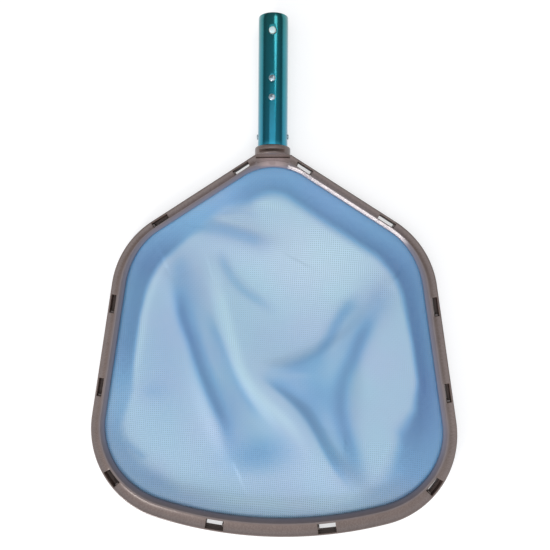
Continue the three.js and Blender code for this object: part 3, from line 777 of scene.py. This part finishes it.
rivetSeed = turned("rivetSeed", rivetProfile(rivet), rivet.sides, rivetAluminium, "up", -rootY)
rivetTree = spreadTree(
    "rivetsAlongTube", {"Count": "Int", "First": "Float", "Spacing": "Float"}, layRivets)
blindRivets = grown(meshObject("blindRivets", [(0, 0, 0)], [], form="loose"), rivetTree, {
    "Seed": rivetSeed, "Count": len(tube.rivetsAt), "First": alongTube(tube.rivetsAt[0]),
    "Spacing": (tube.rivetsAt[1] - tube.rivetsAt[0]) * mm, "Material": rivetAluminium})
bpy.data.objects.remove(rivetSeed)
dressed(blindRivets, "rivet_aluminium", "frame", "pop_rivet_1", "pop_rivet_2")

sideDome = domeProfile(sidePin.head, sidePin.headHeight, sidePin.seat, 0.001)
sideProfile = [(0, sideDome[-1][1]), *reversed(sideDome[:-1]), (sidePin.shank, sidePin.seat)]
sideProfile = [(radius, -reach) for radius, reach in sideProfile] + sideProfile[::-1]
sideRivet = turned("sideRivet", sideProfile, sidePin.sides, rivetAluminium,
                   "x", tube.start + tube.sideRivetAt)
dressed(sideRivet, "rivet_aluminium", "frame", "side_rivet")
print("fasteners", len(blindRivets.data.polygons), len(sideRivet.data.polygons))

# Spring clip: a bow of spring steel, two arms that give, and two nylon buttons on stems

clip = Sizes(
    width=9, thickness=0.9, bend=2.6, leg=3, gap=0.3, tip=5.2, button=3.2, rise=2.6, stem=1.2,
    edge=0.15, sides=40,
)
gap, thickness = clip.gap, clip.thickness
stripOuter = math.sqrt(innerRadius ** 2 - (clip.width / 2) ** 2) - gap
stripInner = stripOuter - thickness
bowStart = neck.plugEnd + gap
armStart = bowStart + clip.bend + clip.leg
armEnd = buttonAlong + clip.tip


def stripPiece(name, outline):
    halfWidth = clip.width / 2
    return prism(name, outline, lambda side, up, along: (side * halfWidth, along + rootY, axisZ + up),
                 clipSteel, 50)


def bowOutline():
    bend, middle, end = clip.bend, bowStart + clip.bend, armStart - gap
    low, high, fine = -stripOuter + bend, stripOuter - bend, bend - thickness
    outer = corner(bend, low, middle, 180, 270, 8) + corner(bend, high, middle, 270, 360, 8)
    inner = corner(fine, high, middle, 360, 270, 8) + corner(fine, low, middle, 270, 180, 8)
    return [(-stripOuter, end), *outer, (stripOuter, end),
            (stripInner, end), *inner, (-stripInner, end)]


def armOutline(side):
    dropped, long = stripOuter - thickness, armEnd - thickness * 2
    outline = [(stripInner, armStart), (stripOuter, armStart), (stripOuter, long), (dropped, armEnd),
               (stripInner - thickness, armEnd), (stripInner, long)]
    return [(side * up, along) for up, along in outline]


def buttonProfile():
    top, radius, rounding, stem = tube.radius + clip.rise, clip.button, clip.button * 0.55, clip.stem
    foot, seat = stripInner - thickness / 2, stripOuter + gap
    return [(0, foot), (stem - 0.2, foot), (stem, foot + 0.2), (stem, seat), (radius - 0.15, seat),
            (radius, seat + 0.15), *corner(rounding, radius - rounding, top - rounding, 0, 90, 6),
            (0, top)]


clipBow = plainMesh(bevelled(stripPiece("clipBow", bowOutline()), clip.edge), 40)
dressed(clipBow, "clip_steel", "frame", "clip_bow")
for side, word, way in ((1, "Upper", "up"), (-1, "Lower", "down")):
    stemHole = sorted((axisZ, axisZ + side * punch))
    armTree = punchTree(f"arm{word}WithStemHole", {"Stem": (*stemHole, False)})
    arm = grown(stripPiece(f"clipArm{word}", armOutline(side)), armTree, {
        "Stem radius": (clip.stem + gap) * mm, "Stem along": (rootY + buttonAlong) * mm,
        "Material": clipSteel}, clip.edge)
    dressed(arm, "clip_steel", f"clip_{word.lower()}", f"clip_arm_{word.lower()}")
    button = turned(f"button{word}", buttonProfile(), clip.sides, buttonNylon, way, buttonAlong)
    dressed(button, "button_nylon", f"clip_{word.lower()}", f"button_{word.lower()}")
print("spring clip and buttons")

# Net: one layer of fine woven mesh, corded round its edge. It sags from the frame to the floor
# and lies there in soft folds. Folds and tones run along curves, in millimetres.

net = Sizes(
    middleY=-62.2, stations=480, rings=112, edgeHeight=6.2, lowest=0.9, slack=21, foldHeight=5.6,
    steep=11, gentle=30, cordInset=2.1, cordRadius=1.0, cordSides=10, traceSteps=400, plane=360,
    tone=0.27, foldTaper=(0.12, 0.76), foldBlend=4, toneEnds=(0.22, 0.7), wallFade=(0.2, 0.7),
)

# Folds: the crest's run, its rise as a share of foldHeight, and the side of the run that is steep
netFolds = [
    ([(-100, 0), (-76, -52), (-66, -110), (-40, -176)], 0.95, -1),
    ([(-58, -6), (-42, -62), (-24, -100), (4, -136), (28, -166)], 0.7, -1),
    ([(112, -8), (78, -52), (28, -86), (-16, -88)], 0.85, -1),
    ([(-13, -97), (27, -134), (56, -176), (86, -207)], 0.8, 1),
    ([(93, -28), (76, -86), (73, -148)], 0.75, 1),
    ([(-64, 50), (-40, 47), (-16, 39), (8, 27)], 0.35, 1),
    ([(-150, -176), (-135, -189), (-118, -205)], 0.35, 1),
]

# Broad tones of painted shade, from 0 for one slack layer to 1 where the weave is steep, doubled or
# in its own shade: middle, reach along and across, turn and tone
netAreas = [
    ((45, 22), (72, 50), -10, 0.05), ((-108, -85), (32, 74), 5, 0.39),
    ((-118, -112), (12, 9), 0, 0.46), ((114, -100), (24, 62), 0, 0.27),
    ((0, -62), (32, 20), 0, 0.3), ((-92, 8), (9, 13), 0, 0.5), ((46, -112), (24, 32), 25, 0.63),
    ((-14, -172), (36, 22), 10, 0.64), ((0, -204), (60, 9), 0, 0.32), ((104, -20), (16, 18), 0, 0.42),
]

# Tone runs of painted shade and painted highlight: points, tone, strength, and the width to the
# left and to the right of the run
netTones = [
    ([(-130, 5), (-123, 16), (-108, 33), (-92, 48), (-79, 58)], 1, 0.5, 6, 6),
    ([(-92, 52), (-72, 52), (-52, 49), (-34, 44), (-14, 37), (6, 30)], 0.62, 0.75, 9, 8),
    ([(-74, 67), (-52, 60), (-34, 55), (-5, 47), (24, 38)], 0.12, 0.65, 3, 3),
    ([(-55, 66), (-42, 66), (-28, 66), (-12, 60)], 0.45, 0.5, 3, 3),
    ([(-60, 73), (-40, 77), (-20, 76), (0, 72), (20, 64)], 0.05, 0.6, 4, 3),
    ([(-60, 36), (-80, 40), (-95, 32), (-105, 20), (-118, -5), (-126, -30), (-131, -60), (-137, -90),
      (-139, -120), (-138, -145)], 0.12, 0.6, 4, 4),
    ([(-94, 34), (-89, 8), (-80, -35), (-66, -65), (-55, -90), (-42, -115), (-32, -140), (-24, -168),
      (-16, -190)], 0.56, 0.8, 17, 14),
    ([(-97, 6), (-93, -20), (-88, -42), (-80, -62), (-72, -85), (-63, -107), (-54, -127), (-46, -145),
      (-41, -165), (-37, -184)], 0.95, 0.8, 9, 6),
    ([(-66, -28), (-58, -48), (-50, -65), (-43, -82), (-35, -100), (-25, -118), (-13, -136),
      (2, -152)], 0.8, 0.45, 4, 5),
    ([(-72, -30), (-66, -55), (-58, -80), (-48, -102), (-38, -118)], 0.4, 0.6, 4, 4),
    ([(-64, 28), (-58, 2), (-49, -25), (-42, -50), (-36, -70), (-30, -88), (-19, -106), (-2, -124),
      (18, -143), (33, -165), (44, -188)], 0.1, 0.9, 5, 7),
    ([(-56, 30), (-45, 8), (-33, -8), (-20, -18), (-4, -28), (8, -36)], 0.55, 0.7, 6, 5),
    ([(92, -12), (76, -24), (64, -42), (55, -60), (42, -76), (18, -87), (-10, -89)], 0.7, 0.8, 16, 7),
    ([(92, -25), (76, -38), (68, -52), (60, -68), (48, -84)], 0.35, 0.6, 4, 4),
    ([(108, -15), (96, -38), (86, -58), (78, -78), (70, -98), (67, -120), (70, -142), (77, -164),
      (86, -190), (96, -212)], 0.85, 0.8, 9, 10),
    ([(-16, -91), (0, -103), (18, -117), (34, -134), (46, -154), (58, -176), (72, -196), (86, -212)],
     0.8, 0.75, 12, 3.5),
    ([(-12, -94), (12, -95), (42, -94)], 0.4, 0.5, 2.5, 2.5),
    ([(-156, -166), (-141, -182), (-127, -194)], 0.12, 0.7, 3, 3),
    ([(-150, -162), (-140, -170), (-124, -182)], 0.7, 0.5, 4, 4),
    ([(-150, -180), (-132, -194), (-112, -205)], 0.75, 0.6, 4, 4),
    ([(-70, -212), (-40, -220), (0, -222), (60, -220), (100, -208)], 0.08, 0.5, 6, 5),
]

# The steep wall inside the frame, painted darker as shade and eased lighter next to the frame:
# direction from the net's middle, its width, tone and softness
netWall = [
    (0, 18, 0.95, 4), (20, 21, 0.92, 5), (35, 28, 0.88, 6), (50, 28, 0.85, 7), (65, 28, 0.8, 7),
    (80, 27, 0.8, 7), (90, 26, 0.8, 8), (100, 26, 0.75, 8), (110, 18, 0.6, 8), (120, 19, 0.62, 6),
    (130, 22, 0.7, 5), (140, 26, 0.82, 5), (150, 24, 0.86, 4), (160, 20, 0.8, 3), (170, 18, 0.8, 2.5),
    (180, 18, 0.8, 3), (190, 19, 0.7, 3), (200, 22, 0.55, 4), (210, 16, 0.55, 5), (220, 20, 0.5, 7),
    (230, 22, 0.5, 8), (240, 12, 0.4, 6), (250, 10, 0.35, 5), (270, 7, 0.3, 4), (290, 7, 0.25, 4),
    (300, 12, 0.35, 6), (310, 24, 0.48, 8), (318, 36, 0.68, 9), (325, 42, 0.78, 9), (335, 25, 0.9, 6),
    (345, 18, 0.95, 4),
]


def smoothRun(points, step=4.0):
    knots = np.array([points[0], *points, points[-1]], float)
    run = []
    for a, b, c, d in zip(knots, knots[1:], knots[2:], knots[3:]):
        count = max(2, int(np.linalg.norm(c - b) / step))
        for u in (i / count for i in range(count)):
            run.append(0.5 * (2 * b + (c - a) * u + (2 * a - 5 * b + 4 * c - d) * u ** 2
                              + (3 * b - a - 3 * c + d) * u ** 3))
    return np.array([*run, knots[-1]])


def nearRun(run, xy):
    nearest, side, share = np.full(len(xy), np.inf), np.ones(len(xy)), np.zeros(len(xy))
    for i, (a, b) in enumerate(zip(run, run[1:])):
        way = b - a
        at = np.clip(((xy - a) @ way) / (way @ way), 0, 1)
        off = xy - a - at[:, None] * way
        distance = np.hypot(off[:, 0], off[:, 1])
        closer = distance < nearest
        nearest = np.where(closer, distance, nearest)
        side = np.where(closer, np.sign(way[0] * off[:, 1] - way[1] * off[:, 0]), side)
        share = np.where(closer, (i + at) / (len(run) - 1), share)
    return nearest, side, share


def smoothStep(value, low, high):
    share = np.clip((value - low) / (high - low), 0, 1)
    return share * share * (3 - 2 * share)


def netLoop(inset, count=net.stations):
    steps = net.traceSteps
    ring = wholeRing([stationAt(halfLength * i / steps) for i in range(steps + 1)])
    loop = np.array([s.edge + s.inward * (s.depth - inset) + (0, rootY) for s in ring])
    strides = np.linalg.norm(np.roll(loop, -1, axis=0) - loop, axis=1)
    travelled = np.concatenate([[0], np.cumsum(strides)])
    wanted = np.linspace(0, travelled[-1], count, endpoint=False)
    closed = np.vstack([loop, loop[:1]])
    return np.column_stack([np.interp(wanted, travelled, closed[:, i]) for i in (0, 1)])


def netHeights(xy, toEdge):
    rises, blend, (start, reach) = [], net.foldBlend, net.foldTaper
    for points, rise, steepSide in netFolds:
        distance, side, share = nearRun(smoothRun(points), xy)
        flank = np.where(side == steepSide, net.steep, net.gentle)
        taper = np.sin(np.pi * np.clip(start + reach * share, 0, 1))
        rises.append(rise * taper * np.exp(-(distance / flank) ** 2))
    height = net.lowest + net.foldHeight * np.sum(np.array(rises) ** blend, axis=0) ** (1 / blend)
    drop = smoothStep(toEdge, 0, net.slack)
    return net.edgeHeight + (height - net.edgeHeight) * drop


def netShades(xy, toEdge):
    tone, (start, end), (fade, fadeWidth) = np.full(len(xy), net.tone), net.toneEnds, net.wallFade
    for centre, size, turn, value in netAreas:
        off = xy - centre
        along, across = off @ facing(turn) / size[0], off @ facing(turn + 90) / size[1]
        tone += (value - tone) * np.exp(-(along ** 2 + across ** 2))
    for points, value, strength, left, right in netTones:
        distance, side, share = nearRun(smoothRun(points), xy)
        width = np.where(side > 0, left, right)
        taper = smoothStep(share, 0, start) * (1 - smoothStep(share, end, 1))
        tone += (value - tone) * strength * taper * np.exp(-(distance / width) ** 2)
    off = xy - (0, net.middleY)
    angle = np.degrees(np.arctan2(off[:, 1], off[:, 0]))
    keys = sorted(((a + 180) % 360 - 180, *rest) for a, *rest in netWall)
    ends = [(keys[-1][0] - 360, *keys[-1][1:]), *keys, (keys[0][0] + 360, *keys[0][1:])]
    angles, *rest = zip(*ends)
    width, amount, soft = (np.interp(angle, angles, values) for values in rest)
    wall = 1 - smoothStep(toEdge, width - soft, width + soft)
    wall *= 1 - fade + fade * smoothStep(toEdge, 0, width * fadeWidth)
    return np.clip(tone + (amount - tone) * wall, 0, 1)


def netMesh(k, material):
    edge, hem = netLoop(frameSet.lip), netLoop(k.cordInset - k.cordRadius)
    middle, count, rings = np.array([0, k.middleY]), k.stations, k.rings
    xy = np.vstack([*(middle + (edge - middle) * (1 - i / rings) for i in range(rings)), middle])
    toEdge = nearRun(np.vstack([edge, edge[:1]]), xy)[0]
    heights, tones = netHeights(xy, toEdge), netShades(xy, toEdge)
    points = [*np.column_stack([xy, heights]), *[(x, y, k.edgeHeight) for x, y in hem]]
    last = len(xy) - 1
    rows = [*(range(i, i + count) for i in range(0, last, count)), [last]]
    pairs = [*zip(rows, rows[1:]), (range(last + 1, last + 1 + count), rows[0])]
    faces = [face for a, b in pairs for face in between(a, b, count)]
    item = meshObject("netSheet", points, faces, material, 180, "sheet",
                      {"shade": [*tones, *tones[:count]]})
    spread = np.array([point.co[:2] for point in item.data.vertices]) / (k.plane * mm)
    spread += (0.5, 0.5 - k.middleY / k.plane)
    flat = item.data.uv_layers.new(name="weave")
    flat.data.foreach_set("uv", spread[cornerVertices(item.data)].ravel())
    return item


# Polyester net: two sets of threads, over and under. The real threads lie about 1 mm apart; they
# are drawn at twice that so that they still show. Where the painted shade is deep the threads are
# drawn closer together and darker. Dye, wander and fibre have a size and a detail.
netFinish = Sizes(
    tones=((0, "#b0d3e1"), (0.33, "#90b4cf"), (0.62, "#639bc4"), (1, "#215a8e")), pitch=2.0,
    openGap=0.275, tightGap=0.14, threadEdge=0.06, turn=3, hole=0.6, thread=0.97, cool="#f8ffff",
    warm="#fff9ff", dye=(60, 1.0), wander=(40, 2.0), drift=0.008, fibre=(3, 3.0), uneven=0.08,
)


def wovenPolyester(finish):
    material, add, shader = newMaterial("wovenPolyester", Roughness=0.5, IOR=1.5)
    plane = net.plane
    uv = add("UVMap", uv_map="weave")
    shade = add("Attribute", attribute_name="shade").outputs["Fac"]
    wander, fibre, dye = (add("TexNoise", {"Vector": uv, "Scale": plane / size, "Detail": detail})
                          for size, detail in (finish.wander, finish.fibre, finish.dye))
    drift = add("VectorMath", {0: out(wander.outputs, "Color"), 1: (finish.drift, finish.drift, 0)},
                operation="MULTIPLY")
    laid = add("Mapping", {"Vector": add("VectorMath", {0: uv, 1: drift}, operation="ADD"),
                           "Rotation": (0, 0, math.radians(finish.turn)),
                           "Scale": (plane / finish.pitch,) * 3})
    parts = add("SeparateXYZ", {"Vector": laid}).outputs
    # Painted shade: where the shade mark is deep, the gaps between threads close and the colour
    # darkens
    gap = add("MapRange", {"Value": shade, "To Min": finish.openGap, "To Max": finish.tightGap})
    low = add("Math", {0: gap, 1: finish.threadEdge}, operation="SUBTRACT")
    high = add("Math", {0: gap, 1: finish.threadEdge}, operation="ADD")
    threads = [add("MapRange", {"Value": add("Math", {0: parts[axis], 1: 0.5}, operation="PINGPONG"),
                                "From Min": low, "From Max": high}) for axis in "XY"]
    cover = add("Math", {0: threads[0], 1: threads[1]}, operation="MAXIMUM")
    alpha = add("MapRange", {"Value": cover, "To Min": finish.hole, "To Max": finish.thread})
    parity = add("TexChecker", {"Vector": laid, "Scale": 1.0})
    over = add("Mix", {"Factor": out(parity.outputs, "Fac"), "A": threads[0], "B": threads[1]},
               data_type="FLOAT")
    bump = add("Bump", {"Height": over, "Strength": 0.35, "Distance": 0.0002})
    spread = add("MapRange", {"Value": fibre, "To Min": -finish.uneven, "To Max": finish.uneven})
    toned = add("Math", {0: shade, 1: spread}, operation="ADD")
    uneven = add("MapRange", {"Value": dye, "From Min": 0.35, "From Max": 0.65})
    tint = add("Mix", {"Factor": uneven, "A": finish.cool, "B": finish.warm}, data_type="RGBA")
    dyed = add("Mix", {"Factor": 1.0, "A": add("ValToRGB", {"Fac": toned}, finish.tones), "B": tint},
               data_type="RGBA", blend_type="MULTIPLY")
    feed(shader, {"Base Color": dyed, "Alpha": alpha, "Normal": bump})
    return material


# The cord that the net's edge is sewn round: a braid, drawn as two crossing spirals
cordFinish = Sizes(base="#9db8cf", groove="#6f8ca8", pitch=2.4, strands=4.0)


def braidedCord(finish):
    material, add, shader = newMaterial("braidedCord", Roughness=0.65, IOR=1.5)
    parts = add("SeparateXYZ", {"Vector": add("UVMap", uv_map="braid")}).outputs
    waves = []
    for way in (1, -1):
        around = add("Math", {0: parts["Y"], 1: finish.strands * way}, operation="MULTIPLY")
        total = add("Math", {0: parts["X"], 1: around}, operation="ADD")
        waves.append(add("Math", {0: total, 1: 0.5}, operation="PINGPONG"))
    high = add("Math", {0: waves[0], 1: waves[1]}, operation="MAXIMUM")
    depth = add("MapRange", {"Value": high, "From Min": 0.15, "From Max": 0.4})
    # Painted shade: the braid's hollows are coloured darker than its strands
    colour = add("Mix", {"Factor": depth, "A": finish.groove, "B": finish.base}, data_type="RGBA")
    bump = add("Bump", {"Height": depth, "Strength": 0.5, "Distance": 0.0001})
    feed(shader, {"Base Color": colour, "Normal": bump})
    return material


def edgeCord(k, material):
    loop, radius, count, sides = netLoop(k.cordInset), k.cordRadius, k.stations, k.cordSides
    points, faces = [], []
    for i in range(count):
        ahead = loop[(i + 1) % count] - loop[i - 1]
        across = np.array([ahead[1], -ahead[0]]) / np.linalg.norm(ahead)
        for j in range(sides):
            angle = 2 * math.pi * j / sides
            place = loop[i] + across * radius * math.cos(angle)
            points.append((*place, k.edgeHeight + radius * math.sin(angle)))
            here, onward = i * sides, (i + 1) % count * sides
            faces.append((here + j, onward + j, onward + (j + 1) % sides, here + (j + 1) % sides))
    item = meshObject("netEdgeCord", points, faces, material)
    along, around = np.divmod(cornerVertices(item.data).reshape(-1, 4), sides)
    for places, full in ((along, count), (around, sides)):
        closing = places.max(axis=1, keepdims=True) == full - 1
        places[(places == 0) & closing] = full
    stepLength = np.linalg.norm(loop[1] - loop[0]) / cordFinish.pitch
    braid = item.data.uv_layers.new(name="braid")
    braid.data.foreach_set("uv", np.stack([along * stepLength, around / sides], -1).ravel())
    return item


netSheet = netMesh(net, wovenPolyester(netFinish))
netCord = edgeCord(net, braidedCord(cordFinish))
dressed(netSheet, "net_mesh", "frame", "net")
dressed(netCord, "net_cord", "frame", "net_edge_cord")

# Light: a soft room with a pale horizon, bright on the near side and dim beyond the handle, and
# three panels. The room's ramps: axis, where it starts and ends, and the level at each.

scene.view_settings.view_transform = "Standard"
roomSet = Sizes(
    ramps=(("Y", -0.15, 0.2, 1.1, 0.3), ("Z", 0.3, 0.75, 0.6, 1.05), ("Z", 0.1, 0.24, 0, 1)),
    horizon=0.95, tint="#fbfcff",
)

world = bpy.data.worlds.new("studio")
world.use_nodes = True
scene.world = world
sky = partial(addNode, world.node_tree)
axes = sky("SeparateXYZ", {"Vector": sky("TexCoord").outputs["Generated"]}).outputs
away, upward, rise = (
    sky("MapRange", {"Value": axes[axis], "From Min": low, "From Max": high,
                     "To Min": start, "To Max": end}, interpolation_type="SMOOTHSTEP")
    for axis, low, high, start, end in roomSet.ramps)
overhead = sky("Math", {0: away, 1: upward}, operation="MULTIPLY")
level = sky("Mix", {"Factor": rise, "A": roomSet.horizon, "B": overhead}, data_type="FLOAT")
feed(world.node_tree.nodes["Background"], {"Color": roomSet.tint, "Strength": level})


def softbox(name, place, target, width, depth, level, colour="#ffffff"):
    data = bpy.data.lights.new(name, "AREA")
    data.shape = "RECTANGLE"
    data.size, data.size_y = width, depth
    data.energy = level * width * depth * math.pi     # so that level is the panel's own brightness
    data.color = toLinear(colour)[:3]
    lamp = bpy.data.objects.new(name, data)
    lamp.location = place
    aim = Vector(np.array(target) - np.array(place))
    lamp.rotation_euler = aim.to_track_quat("-Z", "Y").to_euler()
    scene.collection.objects.link(lamp)


softbox("overheadPanel", (0, -0.02, 1.5), (0, -0.02, 0), 1.25, 1.25, 0.9, "#eef4ff")
softbox("tubePanel", (0.57, 0.98, 1.5), (0, 0.19, 0.02), 0.5, 0.5, 3)
softbox("shoulderPanel", (-0.72, -1.2, 0.5), (0.1, 0.05, 0), 0.45, 0.32, 26, "#fff4f0")

# Floor: it shows as white, and keeps a soft shadow of the object
floorSet = Sizes(albedo=(0.5, 0.5, 0.5, 1), glow=0.6, reach=12 * metre)

floorPaint, add, shader = newMaterial("paintedFloor", Roughness=0.9, Base_Color=floorSet.albedo,
                                      Specular_IOR_Level=0, Emission_Color=(1, 1, 1, 1))
rays = add("LightPath").outputs
seen = add("Math", {0: rays["Is Camera Ray"], 1: rays["Is Glossy Ray"]}, operation="MAXIMUM")
seen = add("Math", {0: seen, 1: rays["Is Transmission Ray"]}, operation="MAXIMUM")
feed(shader, {"Emission Strength": add("Math", {0: seen, 1: floorSet.glow}, operation="MULTIPLY")})
reach = floorSet.reach
corners = [(x * reach, y * reach, 0) for x, y in ((-1, -1), (1, -1), (1, 1), (-1, 1))]
floor = meshObject("floor", corners, [(0, 1, 2, 3)], floorPaint, form="loose")
print("stage set")
